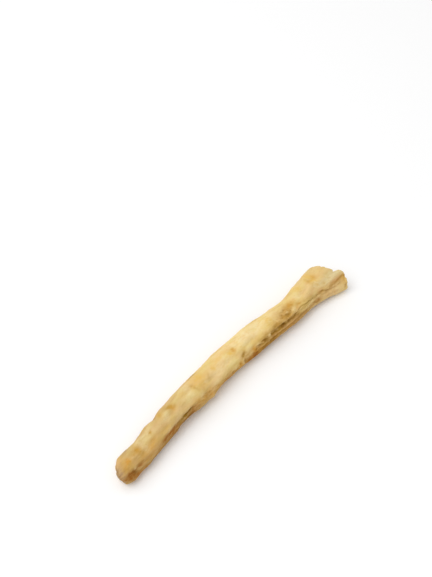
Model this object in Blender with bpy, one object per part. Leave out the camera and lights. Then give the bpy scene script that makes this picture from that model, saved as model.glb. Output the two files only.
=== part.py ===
"""One stick of dried glehnia root, cut from the peeled taproot and lying on its side.

The root grew as one piece, so it is one closed solid. It runs along X, with its thin, worn end
at -X and its flared, split end at +X, and it lies on z = 0 on three low flats.

A section across it is two lobes grown together: the round main body, and on the -Y side a rib,
which swells into a lobe of its own towards the flared end. Furrows run between the two, and the
skin over both is wrinkled lengthwise, with low warts and shallow scars where rootlets broke off.

Angles round the root are in degrees in the YZ plane: 0 points to +Y, 90 up, 180 to -Y.
A list of pairs is a curve: a station along X (or an angle) and the value there, in millimetres.
"""

import bmesh
import bpy
import numpy as np

MM = 0.001

# Driving sizes: the length along X, how far along it each worn rim is rounded and how deep the
# rounding goes for its length, and how far in from the ends the slant of a cut is felt
LENGTH = 85.0
THIN_RIM_ROUNDING = 1.5
FLARED_RIM_ROUNDING = 0.6
RIM_DEPTH = 0.6
END_REACH = 12.0

# Fineness of the surface: sides round the root, rings along it, and the steps in from the rim of
# a cut to its middle. The rings crowd towards the ends, and the sides towards the furrows. A face
# of the round bar that it starts from is on a cap where it leans along the bar more than CAP_LEAN
SIDES = 48
RINGS = 98
CAP_INSETS = (0.24, 0.24, 0.22)
RING_CROWDING = 0.5
SIDE_CROWDING = 0.42
FURROW_SIDE = 165.0
CAP_LEAN = 0.5

# An edge between faces that turn by more than this, in degrees, is shaded as a crisp rim
RIM_ANGLE = 50.0

# The line through the middle of the root: how far it bows to +Y, and its height above the table,
# which is low enough at three places for the underside to be pressed flat there
BOW = (
    (-43, 0.35), (-35, 0.75), (-30, 1.3), (-25, 1.85), (-17, 2.55), (-8, 2.75), (1, 3.1), (8, 2.95),
    (15, 2.4), (21, 1.6), (26, 1.35), (32, 1.8), (37, 1.3), (43, 0.9),
)
HEIGHT = (
    (-43, 3.25), (-37, 2.95), (-31, 2.72), (-25, 3.3), (-14, 3.85), (-5, 3.6), (3, 3.42), (9, 3.6),
    (18, 3.7), (26, 3.35), (33, 3.2), (38, 3.35), (43, 3.5),
)

# The main body: its radius, and how far its middle lies from the line, towards MAIN_SIDE
MAIN_SIDE = 26.0
MAIN_RADIUS = (
    (-43, 3.0), (-30, 3.05), (-15, 3.5), (0, 3.6), (12, 3.5), (22, 3.3), (30, 3.55), (36, 3.75),
    (43, 3.9),
)
MAIN_OFFSET = ((-43, 0.3), (-15, 0.35), (5, 0.3), (22, 0.3), (30, 0.7), (36, 1.2), (43, 1.6))

# The rib: the side that it lies on, its radius and its distance from the line
RIB_SIDE = ((-43, 215), (-20, 208), (0, 208), (20, 204), (43, 203))
RIB_RADIUS = (
    (-43, 2.0), (-33, 1.8), (-24, 1.9), (-21, 1.6), (-15, 1.95), (-7, 1.9), (5, 2.0), (24, 2.0),
    (32, 2.1), (43, 2.3),
)
RIB_OFFSET = (
    (-43, 1.5), (-33, 1.1), (-25, 1.3), (-21, 1.0), (-15, 1.95), (-7, 1.5), (5, 1.85), (21, 1.75),
    (27, 1.35), (32, 2.1), (43, 3.65),
)

# How softly the two run into each other
CREASE_SOFTNESS = (
    (-43, 0.35), (-32, 0.35), (-24, 0.15), (-14, 0.12), (0, 0.12), (14, 0.12), (23, 0.15), (32, 0.3),
    (43, 0.5),
)

# The furrow between the two, and a second one that splits the rib near the flared end:
# the angle that each runs at, its depth and its half width in degrees
FURROW_ANGLE = (
    (-43, 150), (-37, 151), (-25, 162), (-18, 158), (-5, 168), (4, 172), (11, 158), (18, 155),
    (29, 153), (35, 165), (43, 173),
)
FURROW_DEPTH = (
    (-43, 0.1), (-37, 0.2), (-32, 0.0), (-28, 0.1), (-24, 0.4), (-17, 0.6), (-6, 0.2), (4, 0.2),
    (10, 0.7), (18, 0.9), (30, 0.7), (43, 0.3),
)
FURROW_WIDTH = 8.0
SECOND_ANGLE = ((6, 186), (20, 182), (29, 175), (35, 177), (43, 186))
SECOND_DEPTH = ((6, 0.0), (12, 0.35), (22, 0.5), (30, 0.7), (36, 0.4), (43, 0.3))
SECOND_WIDTH = 6.0

# Lengthwise wrinkles: how many go round the root, and their height. They sway round it, fade and
# return as they run along it, and STAGGER, in radians, sets each kind apart from the one before
WRINKLES = ((5, 0.07), (7, 0.07), (9, 0.07), (11, 0.06))
SWAY = 1.3
SWAY_LENGTH = 23.0
FADE_LENGTH = 14.4
STAGGER = 1.7

# Slow swellings along the root: their length and height, and how many go round
SWELLS = ((27.0, 0.08, 1), (15.0, 0.08, 2), (8.5, 0.06, 3))

# Warts and hollows: station, angle, half length, half width, and height (below 0 for a hollow)
MARKS = (
    (-40.6, 157, 1.7, 1.1, -0.50),
    (-37.6, 155, 1.0, 0.8, -0.25),
    (-29.0, 28, 2.0, 2.4, 0.30),
    (-26.4, 28, 1.4, 2.4, -0.30),
    (-21.8, 82, 1.0, 0.8, -0.15),
    (-12.3, 99, 2.4, 1.3, -0.16),
    (-10.1, 195, 0.9, 0.9, 0.35),
    (1.5, 180, 1.0, 0.8, 0.45),
    (3.2, 141, 1.0, 0.7, -0.35),
    (12.5, 164, 0.8, 0.6, 0.30),
    (17.8, 160, 0.9, 0.6, -0.40),
    (18.8, 115, 1.0, 0.6, -0.20),
    (19.8, 128, 1.0, 0.6, -0.25),
    (24.0, 25, 3.2, 3.4, -0.25),
    (-34.0, 318, 1.2, 1.0, 0.30),
    (-19.0, 345, 1.6, 1.1, -0.30),
    (-7.0, 300, 1.1, 1.0, 0.35),
    (9.5, 330, 1.8, 0.9, -0.35),
    (14.0, 352, 1.0, 0.9, 0.30),
    (29.5, 322, 1.3, 1.0, -0.30),
)

# How far each side of a cut reaches along X, by angle round the root, and how hollow the cut is
THIN_EDGE = (
    (26, -41.2), (70, -42.4), (116, -43.2), (160, -42.9), (206, -41.6), (250, -42.1), (296, -42.4),
    (340, -41.5),
)
THIN_HOLLOW = 0.25
FLARED_EDGE = (
    (26, 37.6), (70, 38.6), (100, 39.8), (116, 40.7), (130, 42.4), (145, 43.2), (160, 43.2),
    (175, 42.6), (190, 41.8), (210, 41.3), (270, 41.0), (320, 38.8),
)
FLARED_HOLLOW = 0.5


def curve_through(x, stations):
    """A smooth curve through (station, value) pairs, in cubic pieces that share their slopes."""
    knots, values = np.array(stations, float).T
    slopes = np.gradient(values, knots)
    x = np.clip(x, knots[0], knots[-1])
    piece = np.clip(np.searchsorted(knots, x) - 1, 0, len(knots) - 2)
    step = knots[piece + 1] - knots[piece]
    u = (x - knots[piece]) / step
    start = (1 + 2 * u) * (1 - u) ** 2 * values[piece] + u * (1 - u) ** 2 * step * slopes[piece]
    end = u * u * (3 - 2 * u) * values[piece + 1] - u * u * (1 - u) * step * slopes[piece + 1]
    return start + end


def turn_between(angle, other):
    """The signed turn from other to angle, in degrees, the short way round."""
    return (angle - other + 180.0) % 360.0 - 180.0


def reach_of_circle(angle, side, offset, radius):
    """How far a ray from the line runs until it leaves a circle whose middle lies offset towards side."""
    turn = np.radians(turn_between(angle, side))
    along = offset * np.cos(turn)
    across = offset * np.sin(turn)
    return along + np.sqrt(np.maximum(radius**2 - across**2, 0.0))


def two_lobes(x, angle):
    """The section's outline: whichever of the two circles reaches further, with a softened crease."""
    main = reach_of_circle(angle, MAIN_SIDE, curve_through(x, MAIN_OFFSET), curve_through(x, MAIN_RADIUS))
    rib_side = curve_through(x, RIB_SIDE)
    rib = reach_of_circle(angle, rib_side, curve_through(x, RIB_OFFSET), curve_through(x, RIB_RADIUS))
    softness = curve_through(x, CREASE_SOFTNESS)
    return softness * np.logaddexp(main / softness, rib / softness)


def furrow(x, angle, path, depths, width):
    """A groove along path: a bell-shaped cut of the given half width."""
    turn = turn_between(angle, curve_through(x, path))
    return -curve_through(x, depths) * np.exp(-((turn / width) ** 2))


def relief(x, angle):
    """Height of the wrinkles, the slow swellings and the marks over the smooth outline."""
    turn = np.radians(angle)
    height = np.zeros_like(x)
    for order, (count, size) in enumerate(WRINKLES):
        apart = STAGGER * order
        fade = 0.5 + 0.5 * np.cos(2 * np.pi * x / FADE_LENGTH + 2 * apart)
        sway = SWAY * np.sin(2 * np.pi * x / SWAY_LENGTH + apart)
        height += size * fade * np.cos(count * turn + apart + sway)
    for order, (length, size, count) in enumerate(SWELLS):
        height += size * np.cos(2 * np.pi * x / length + count * turn + STAGGER * order)
    for station, side, length, width, size in MARKS:
        around = np.radians(turn_between(angle, side)) * curve_through(x, MAIN_RADIUS)
        height += size * np.exp(-(((x - station) / length) ** 2) - (around / width) ** 2)
    return height


def rim_inset(x):
    """How far the worn rim of the nearer cut draws the skin in: a quarter circle, flattened."""
    rounding = np.where(x < 0, THIN_RIM_ROUNDING, FLARED_RIM_ROUNDING)
    close = np.clip(1 - (LENGTH / 2 - np.abs(x)) / rounding, 0, 1)
    return RIM_DEPTH * rounding * (1 - np.sqrt(1 - close**2))


def skin_reach(x, angle):
    """Distance from the line to the skin, at station x and in the direction angle."""
    reach = two_lobes(x, angle) + relief(x, angle) - rim_inset(x)
    reach += furrow(x, angle, FURROW_ANGLE, FURROW_DEPTH, FURROW_WIDTH)
    return reach + furrow(x, angle, SECOND_ANGLE, SECOND_DEPTH, SECOND_WIDTH)


def edge_round(angle, edge):
    """The edge of a cut as a smooth closed curve over the angle."""
    first = edge[0][0]
    before = tuple((side - 360, value) for side, value in edge[-2:])
    after = tuple((side + 360, value) for side, value in edge[:2])
    return curve_through((angle - first) % 360.0 + first, before + edge + after)


def end_shift(x, angle, share):
    """How far the slant and the hollow of the nearer cut move a point along X."""
    near = np.clip(1 - (LENGTH / 2 - np.abs(x)) / END_REACH, 0, 1)
    near = near * near * (3 - 2 * near)
    shift = np.zeros_like(x)
    for side, edge, hollow in ((-1, THIN_EDGE, THIN_HOLLOW), (1, FLARED_EDGE, FLARED_HOLLOW)):
        middle = np.mean([value for _, value in edge])
        cut = middle + (edge_round(angle, edge) - middle) * share - side * hollow * (1 - share**2)
        shift += np.where(np.sign(x) == side, cut - side * LENGTH / 2, 0.0)
    return near * shift


def root_point(x, angle, share):
    """A point of the root: share is 1 on the skin and falls to 0 at the middle of a cut face."""
    reach = skin_reach(x, angle) * share
    across = curve_through(x, BOW) + reach * np.cos(np.radians(angle))
    up = curve_through(x, HEIGHT) + reach * np.sin(np.radians(angle))
    return np.stack([x + end_shift(x, angle, share), across, np.maximum(up, 0.0)], 1)


def centred(points):
    """The points, with the middle of their box over the origin in X and Y."""
    middle = (points.min(0) + points.max(0)) / 2
    return points - middle * (1, 1, 0)


def round_bar():
    """A bar of radius 1 and length 2 on the Z axis, with rings along it and insets on both caps.

    The faces of its caps take the second material.
    """
    bar = bmesh.new()
    bmesh.ops.create_cone(bar, cap_ends=True, segments=SIDES, radius1=1, radius2=1, depth=2)
    long_edges = [edge for edge in bar.edges if abs(edge.verts[0].co.z - edge.verts[1].co.z) > 1]
    bmesh.ops.subdivide_edges(bar, edges=long_edges, cuts=RINGS - 1, use_grid_fill=True)
    caps = [face for face in bar.faces if len(face.verts) == SIDES]
    for inset in CAP_INSETS:
        bmesh.ops.inset_individual(bar, faces=caps, thickness=inset, use_even_offset=True)
    bmesh.ops.poke(bar, faces=caps)
    bar.normal_update()
    for face in bar.faces:
        face.material_index = int(abs(face.normal.z) > CAP_LEAN)
    return bar


def shape_root(bar):
    """Moves each point of the bar to its place on the root."""
    spots = np.array([vertex.co[:] for vertex in bar.verts])
    share = np.hypot(spots[:, 0], spots[:, 1])
    turn = np.arctan2(spots[:, 1], spots[:, 0])
    angle = np.degrees(turn - SIDE_CROWDING * np.sin(turn)) + FURROW_SIDE
    along = spots[:, 2]
    x = LENGTH / 2 * ((1 - RING_CROWDING) * along + RING_CROWDING * np.sin(np.pi / 2 * along))
    for vertex, place in zip(bar.verts, centred(root_point(x, angle, share)) * MM):
        vertex.co = place


def root_material(name, colour, roughness):
    material = bpy.data.materials.new(name)
    material.use_nodes = True
    shader = material.node_tree.nodes["Principled BSDF"]
    shader.inputs["Base Color"].default_value = (*colour, 1.0)
    shader.inputs["Roughness"].default_value = roughness
    shader.inputs["Metallic"].default_value = 0.0
    return material


def clear_scene():
    for item in list(bpy.data.objects):
        bpy.data.objects.remove(item, do_unlink=True)


def build_root():
    bar = round_bar()
    shape_root(bar)
    mesh = bpy.data.meshes.new("glehnia_root")
    bar.to_mesh(mesh)
    bar.free()
    mesh.materials.append(root_material("dried root skin", (0.73, 0.53, 0.24), 0.75))
    mesh.materials.append(root_material("cut root flesh", (0.80, 0.62, 0.33), 0.85))
    mesh.shade_smooth()
    mesh.set_sharp_from_angle(angle=np.radians(RIM_ANGLE))
    root = bpy.data.objects.new("glehnia_root", mesh)
    parts = bpy.data.collections.new("Glehnia root")
    bpy.context.scene.collection.children.link(parts)
    parts.objects.link(root)


clear_scene()
build_root()
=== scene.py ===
# %% [markdown]
# # A stick of dried glehnia root
#
# The subject is one stick cut from a dried, peeled taproot, about as long as a finger and as thick
# as a pencil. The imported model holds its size, its place and its main form. This lesson makes the
# surface that the eye meets: fine wrinkles, scars, pits and cut ends, and the straw, amber and
# brown of the dried skin. It is one piece, as the root grew as one.

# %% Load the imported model
import bpy
import numpy as np
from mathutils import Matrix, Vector


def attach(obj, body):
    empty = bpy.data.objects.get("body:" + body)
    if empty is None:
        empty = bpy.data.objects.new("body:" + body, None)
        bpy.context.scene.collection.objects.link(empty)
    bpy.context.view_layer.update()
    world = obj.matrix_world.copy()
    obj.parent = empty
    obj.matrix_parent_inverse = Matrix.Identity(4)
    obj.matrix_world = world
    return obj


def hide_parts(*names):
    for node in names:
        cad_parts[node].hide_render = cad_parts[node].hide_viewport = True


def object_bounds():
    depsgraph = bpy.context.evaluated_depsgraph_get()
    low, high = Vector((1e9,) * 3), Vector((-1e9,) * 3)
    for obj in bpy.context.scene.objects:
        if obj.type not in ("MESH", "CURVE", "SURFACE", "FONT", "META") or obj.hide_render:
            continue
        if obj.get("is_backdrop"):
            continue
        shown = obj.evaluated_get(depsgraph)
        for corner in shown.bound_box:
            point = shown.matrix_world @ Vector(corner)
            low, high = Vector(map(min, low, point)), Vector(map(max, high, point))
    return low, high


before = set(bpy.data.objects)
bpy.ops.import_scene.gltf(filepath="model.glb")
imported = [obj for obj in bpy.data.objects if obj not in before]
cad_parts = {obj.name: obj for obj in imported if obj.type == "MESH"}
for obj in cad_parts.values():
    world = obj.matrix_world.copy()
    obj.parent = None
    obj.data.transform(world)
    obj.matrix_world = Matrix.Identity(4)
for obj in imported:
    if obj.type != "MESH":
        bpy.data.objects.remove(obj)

MM = 0.001
scene = bpy.context.scene
cad_low, cad_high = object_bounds()
print("packed root:", [round(side / MM, 2) for side in cad_high - cad_low], "mm")

# %% [markdown]
# ## Curves along the root
#
# Almost everything about a root changes slowly along it: how thick it is, where the rib lies, how
# deep the furrow is. A few stations with a value each, and one smooth curve through them, hold
# that. The pieces between stations are cubics that share their slopes, so the skin has no kink.

# %% A smooth curve through stations


def curve_through(x, stations):
    """A smooth curve through (station, value) pairs, in cubic pieces that share their slopes."""
    knots, values = np.array(stations, float).T
    slopes = np.gradient(values, knots)
    x = np.clip(x, knots[0], knots[-1])
    piece = np.clip(np.searchsorted(knots, x) - 1, 0, len(knots) - 2)
    step = knots[piece + 1] - knots[piece]
    u = (x - knots[piece]) / step
    start = (1 + 2 * u) * (1 - u) ** 2 * values[piece] + u * (1 - u) ** 2 * step * slopes[piece]
    end = u * u * (3 - 2 * u) * values[piece + 1] - u * u * (1 - u) * step * slopes[piece + 1]
    return start + end


def turn_between(angle, other):
    """The turn from other to angle in degrees: their difference, wrapped to between -180 and 180."""
    return (angle - other + 180.0) % 360.0 - 180.0


print("half way up the first leg of 0, 1, 0:", curve_through(0.5, ((0, 0), (1, 1), (2, 0))))

# %% [markdown]
# ## The main form
#
# The section of this root is two lobes grown together: a round main body, and a rib on the near
# side that swells into a lobe of its own at the flared end. Each lobe is a circle, and a ray from
# the middle line meets both; the skin is at whichever is further out, with the crease between
# them softened. Furrows are bell-shaped cuts along a path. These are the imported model's own
# formulas and values, so the fine surface lies on it everywhere. Lengths are in millimetres and
# angles in degrees, where 0 points to +Y, 90 up and 180 to -Y.

# %% Values of the main form
LENGTH = 85.0
THIN_RIM_ROUNDING = 1.5
FLARED_RIM_ROUNDING = 0.6
RIM_DEPTH = 0.6
END_REACH = 12.0

BOW = (
    (-43, 0.35), (-35, 0.75), (-30, 1.3), (-25, 1.85), (-17, 2.55), (-8, 2.75), (1, 3.1), (8, 2.95),
    (15, 2.4), (21, 1.6), (26, 1.35), (32, 1.8), (37, 1.3), (43, 0.9),
)
HEIGHT = (
    (-43, 3.25), (-37, 2.95), (-31, 2.72), (-25, 3.3), (-14, 3.85), (-5, 3.6), (3, 3.42), (9, 3.6),
    (18, 3.7), (26, 3.35), (33, 3.2), (38, 3.35), (43, 3.5),
)
MAIN_SIDE = 26.0
MAIN_RADIUS = (
    (-43, 3), (-30, 3.05), (-15, 3.5), (0, 3.6), (12, 3.5), (22, 3.3), (30, 3.55), (36, 3.75), (43, 3.9),
)
MAIN_OFFSET = ((-43, 0.3), (-15, 0.35), (5, 0.3), (22, 0.3), (30, 0.7), (36, 1.2), (43, 1.6))
RIB_SIDE = ((-43, 215), (-20, 208), (0, 208), (20, 204), (43, 203))
RIB_RADIUS = (
    (-43, 2), (-33, 1.8), (-24, 1.9), (-21, 1.6), (-15, 1.95), (-7, 1.9), (5, 2), (24, 2), (32, 2.1),
    (43, 2.3),
)
RIB_OFFSET = (
    (-43, 1.5), (-33, 1.1), (-25, 1.3), (-21, 1), (-15, 1.95), (-7, 1.5), (5, 1.85), (21, 1.75), (27, 1.35),
    (32, 2.1), (43, 3.65),
)
CREASE_SOFTNESS = (
    (-43, 0.35), (-32, 0.35), (-24, 0.15), (-14, 0.12), (0, 0.12), (14, 0.12), (23, 0.15), (32, 0.3),
    (43, 0.5),
)
FURROW_ANGLE = (
    (-43, 150), (-37, 151), (-25, 162), (-18, 158), (-5, 168), (4, 172), (11, 158), (18, 155), (29, 153),
    (35, 165), (43, 173),
)
FURROW_DEPTH = (
    (-43, 0.1), (-37, 0.2), (-32, 0), (-28, 0.1), (-24, 0.4), (-17, 0.6), (-6, 0.2), (4, 0.2), (10, 0.7),
    (18, 0.9), (30, 0.7), (43, 0.3),
)
FURROW_WIDTH = 8.0
SECOND_ANGLE = ((6, 186), (20, 182), (29, 175), (35, 177), (43, 186))
SECOND_DEPTH = ((6, 0), (12, 0.35), (22, 0.5), (30, 0.7), (36, 0.4), (43, 0.3))
SECOND_WIDTH = 6.0

# Wrinkles are (how many go round, height), swells (length, height, how many go round)
WRINKLES = ((5, 0.07), (7, 0.07), (9, 0.07), (11, 0.06))
SWAY = 1.3
SWAY_LENGTH = 23.0
FADE_LENGTH = 14.4
STAGGER = 1.7
SWELLS = ((27, 0.08, 1), (15, 0.08, 2), (8.5, 0.06, 3))

# Warts and hollows: station, angle, half length, half width, height
MARKS = (
    (-40.6, 157, 1.7, 1.1, -0.5), (-37.6, 155, 1, 0.8, -0.25), (-29, 28, 2, 2.4, 0.3),
    (-26.4, 28, 1.4, 2.4, -0.3), (-21.8, 82, 1, 0.8, -0.15), (-12.3, 99, 2.4, 1.3, -0.16),
    (-10.1, 195, 0.9, 0.9, 0.35), (1.5, 180, 1, 0.8, 0.45), (3.2, 141, 1, 0.7, -0.35),
    (12.5, 164, 0.8, 0.6, 0.3), (17.8, 160, 0.9, 0.6, -0.4), (18.8, 115, 1, 0.6, -0.2),
    (19.8, 128, 1, 0.6, -0.25), (24, 25, 3.2, 3.4, -0.25), (-34, 318, 1.2, 1, 0.3),
    (-19, 345, 1.6, 1.1, -0.3), (-7, 300, 1.1, 1, 0.35), (9.5, 330, 1.8, 0.9, -0.35),
    (14, 352, 1, 0.9, 0.3), (29.5, 322, 1.3, 1, -0.3),
)

# How far each side of a cut reaches along X, by angle, and how hollow the cut is
THIN_EDGE = (
    (26, -41.2), (70, -42.4), (116, -43.2), (160, -42.9), (206, -41.6), (250, -42.1), (296, -42.4),
    (340, -41.5),
)
THIN_HOLLOW = 0.25
FLARED_EDGE = (
    (26, 37.6), (70, 38.6), (100, 39.8), (116, 40.7), (130, 42.4), (145, 43.2), (160, 43.2), (175, 42.6),
    (190, 41.8), (210, 41.3), (270, 41), (320, 38.8),
)
FLARED_HOLLOW = 0.5
print("stations on the middle line:", len(BOW), "and marks:", len(MARKS))

# %% The section of the root


def reach_of_circle(angle, side, offset, radius):
    """Where a ray leaves a circle set off to a side: o cos t + root of (r squared - (o sin t) squared)."""
    turn = np.radians(turn_between(angle, side))
    along = offset * np.cos(turn)
    across = offset * np.sin(turn)
    return along + np.sqrt(np.maximum(radius**2 - across**2, 0.0))


def two_lobes(x, angle):
    """The further of the two circles' reaches a and b, softened: s * ln(exp(a / s) + exp(b / s))."""
    main = reach_of_circle(angle, MAIN_SIDE, curve_through(x, MAIN_OFFSET), curve_through(x, MAIN_RADIUS))
    rib_side = curve_through(x, RIB_SIDE)
    rib = reach_of_circle(angle, rib_side, curve_through(x, RIB_OFFSET), curve_through(x, RIB_RADIUS))
    softness = curve_through(x, CREASE_SOFTNESS)
    return softness * np.logaddexp(main / softness, rib / softness)


def beside(angle, side, width):
    """1 at that side of the root, and falling off as exp(-(turn / width) squared)."""
    return np.exp(-((turn_between(angle, side) / width) ** 2))


def furrow(x, angle, path, depths, width):
    """A groove along path: minus the depth, times the fall to both sides."""
    return -curve_through(x, depths) * beside(angle, curve_through(x, path), width)


def spot(x, angle, station, side, length, width, slant=0.0):
    """1 in the middle of an oval spot, fading as exp(-r squared), with r in half sizes of the oval.

    The slant turns the oval on the skin, in degrees, from along the root towards growing angles.
    """
    along = x - station
    around = np.radians(turn_between(angle, side)) * curve_through(x, MAIN_RADIUS)
    c, s = np.cos(np.radians(slant)), np.sin(np.radians(slant))
    return np.exp(-(((along * c + around * s) / length) ** 2) - ((around * c - along * s) / width) ** 2)


def broad_relief(x, angle):
    """Height over the two lobes: cosines round the root, cosines along it, and an oval for each mark."""
    turn = np.radians(angle)
    height = np.zeros_like(x)
    for order, (count, size) in enumerate(WRINKLES):
        apart = STAGGER * order
        fade = 0.5 + 0.5 * np.cos(2 * np.pi * x / FADE_LENGTH + 2 * apart)
        sway = SWAY * np.sin(2 * np.pi * x / SWAY_LENGTH + apart)
        height += size * fade * np.cos(count * turn + apart + sway)
    for order, (length, size, count) in enumerate(SWELLS):
        height += size * np.cos(2 * np.pi * x / length + count * turn + STAGGER * order)
    for station, side, length, width, size in MARKS:
        height += size * spot(x, angle, station, side, length, width)
    return height


def rim_inset(x):
    """How far the worn rim of the nearer cut draws the skin in: a quarter circle, flattened."""
    rounding = np.where(x < 0, THIN_RIM_ROUNDING, FLARED_RIM_ROUNDING)
    close = np.clip(1 - (LENGTH / 2 - np.abs(x)) / rounding, 0, 1)
    return RIM_DEPTH * rounding * (1 - np.sqrt(1 - close**2))


def form_reach(x, angle):
    """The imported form's skin: the lobes, relief and two furrows added up, less the worn rim."""
    reach = two_lobes(x, angle) + broad_relief(x, angle) - rim_inset(x)
    reach += furrow(x, angle, FURROW_ANGLE, FURROW_DEPTH, FURROW_WIDTH)
    return reach + furrow(x, angle, SECOND_ANGLE, SECOND_DEPTH, SECOND_WIDTH)


print("skin above the middle line half way along:", form_reach(np.zeros(1), 90.0).round(2)[0], "mm")

# %% The two cut ends


def edge_round(angle, edge):
    """The edge of a cut over the angle: a smooth curve, closed by repeating two stations past each end."""
    first = edge[0][0]
    before = tuple((side - 360, value) for side, value in edge[-2:])
    after = tuple((side + 360, value) for side, value in edge[:2])
    return curve_through((angle - first) % 360.0 + first, before + edge + after)


def end_shift(x, angle, share):
    """How far the nearer cut moves a point along X, fading over END_REACH.

    The slant is the edge's distance from its mean times the share, the hollow 1 - share squared.
    """
    near = np.clip(1 - (LENGTH / 2 - np.abs(x)) / END_REACH, 0, 1)
    near = near * near * (3 - 2 * near)
    shift = np.zeros_like(x)
    for side, edge, hollow in ((-1, THIN_EDGE, THIN_HOLLOW), (1, FLARED_EDGE, FLARED_HOLLOW)):
        middle = np.mean([value for _, value in edge])
        cut = middle + (edge_round(angle, edge) - middle) * share - side * hollow * (1 - share**2)
        shift += np.where(np.sign(x) == side, cut - side * LENGTH / 2, 0.0)
    return near * shift


def place(x, angle, share, reach):
    """The point at that share of the reach: X with the cut's slant, Y by cosine and Z by sine."""
    across = curve_through(x, BOW) + reach * share * np.cos(np.radians(angle))
    up = curve_through(x, HEIGHT) + reach * share * np.sin(np.radians(angle))
    return np.stack([x + end_shift(x, angle, share), across, np.maximum(up, 0.0)], -1)


print("middle of the flared cut:", place(np.full(1, LENGTH / 2), 0.0, 0.0, 0.0).round(2)[0], "mm")

# %% [markdown]
# ## The grid of the skin
#
# The skin is a surface of two parameters: the station along the root and the angle round it. The
# rings lie about 0.2 mm apart, closer near the ends, and the sides crowd towards the furrow, where
# the detail is finest. Every layer of relief below is an array of the grid's size that is added to
# the reach.

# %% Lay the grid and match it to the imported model
RINGS = 500
SIDES = 176
RING_CROWDING = 0.3
SIDE_CROWDING = 0.42
FURROW_SIDE = 165.0

u = np.linspace(-1, 1, RINGS)[:, None] * np.ones(SIDES)
turn = np.linspace(0, 2 * np.pi, SIDES, endpoint=False) * np.ones((RINGS, 1))
x = LENGTH / 2 * ((1 - RING_CROWDING) * u + RING_CROWDING * np.sin(np.pi / 2 * u))
angle = np.degrees(turn - SIDE_CROWDING * np.sin(turn)) + FURROW_SIDE
form = form_reach(x, angle)
form_points = place(x, angle, 1.0, form).reshape(-1, 3)
form_middle = (form_points.min(0) + form_points.max(0)) / 2
to_frame = (np.array(cad_low) + np.array(cad_high)) / 2 / MM - form_middle
to_frame[2] = 0.0
print("form's box:", np.ptp(form_points, axis=0).round(2), "mm, moved by", to_frame.round(3), "mm")

# %% [markdown]
# ## Fine relief
#
# A drying root shrinks more round than along, so its skin gathers in fine lengthwise wrinkles
# between the broad ones. As a bump in the material they would leave the outline a smooth rod, so
# here they are real height. A sum of many cosine waves with random pitch and phase gives uneven
# ground that closes round the root. Where it crosses zero there are long, wandering lines, and a
# narrow groove along those looks like skin that has gathered.

# %% Uneven ground
GIRTH = 24.0


def uneven(x, angle, long, wide, seed, count=48):
    """Uneven ground of spread 1: a scaled sum of cosine waves with random pitch and phase.

    Their pitch is about long along the root and about wide round it, in millimetres. The number
    of waves round the root is whole, so that the ground closes on itself.
    """
    draw = np.random.default_rng(seed)
    along = draw.normal(0, 2 * np.pi / long, count)
    around = np.round(draw.normal(0, GIRTH / wide, count))
    phase = draw.uniform(0, 2 * np.pi, count)
    ground = np.zeros(np.shape(x))
    for pitch, waves, start in zip(along, around, phase):
        ground += np.cos(pitch * x + waves * np.radians(angle) + start)
    return ground * np.sqrt(2 / count)


def grooves(ground, width):
    """exp(-(ground / width) squared): 1 along the lines where the ground crosses zero, 0 elsewhere."""
    return np.exp(-((ground / width) ** 2))


def blurred(field, along, around):
    """Each point becomes the bell-weighted mean of its neighbours; the field is closed round the root."""
    for axis, spread, edge in ((0, along, "edge"), (1, around, "wrap")):
        steps = np.arange(-2 * spread, 2 * spread + 1)
        weights = np.exp(-((steps / spread) ** 2))
        weights /= weights.sum()
        margins = [(0, 0), (0, 0)]
        margins[axis] = (2 * spread, 2 * spread)
        wide = np.pad(field, margins, mode=edge)
        own = np.arange(field.shape[axis])
        field = sum(w * np.take(wide, own + k, axis=axis) for k, w in enumerate(weights))
    return field


def tell_span(name, height):
    """Prints how far down and up a layer of heights reaches."""
    print(name, "from", height.min().round(3), "to", height.max().round(3), "mm")


tell_span("a trial of uneven ground", uneven(x, angle, 10, 2, 1))

# %% Wrinkles, lumps and grain
# The skin gathers beside the furrow and a little underneath: angle, width and share
GATHERS = ((176, 30, 0.8), (300, 75, 0.4))
UPPER_SHARE = 0.16
FINE_SHARE = 0.3
WRINKLE_DEPTH = 0.10
FINE_DEPTH = 0.035
SWELLING_HEIGHT = 0.045
LUMP_HEIGHT = 0.022
GRAIN_HEIGHT = 0.006

gathered = UPPER_SHARE + sum(share * beside(angle, side, width) for side, width, share in GATHERS)
finely = FINE_SHARE + gathered
patchy = 0.5 + 0.5 * np.tanh(uneven(x, angle, 14, 6, 11))
relief = {
    "wrinkles": -WRINKLE_DEPTH * gathered * patchy * grooves(uneven(x, angle, 18, 2.6, 12, 60), 0.30),
    "fine wrinkles": -FINE_DEPTH * finely * grooves(uneven(x, angle, 8, 1.3, 13, 60), 0.35),
    "swelling": SWELLING_HEIGHT * uneven(x, angle, 9.0, 4.5, 14),
    "lumps": LUMP_HEIGHT * finely * uneven(x, angle, 2.4, 1.4, 15),
    "grain": GRAIN_HEIGHT * uneven(x, angle, 0.9, 0.5, 16, 64),
}
for name, layer in relief.items():
    tell_span(name, layer)
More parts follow.
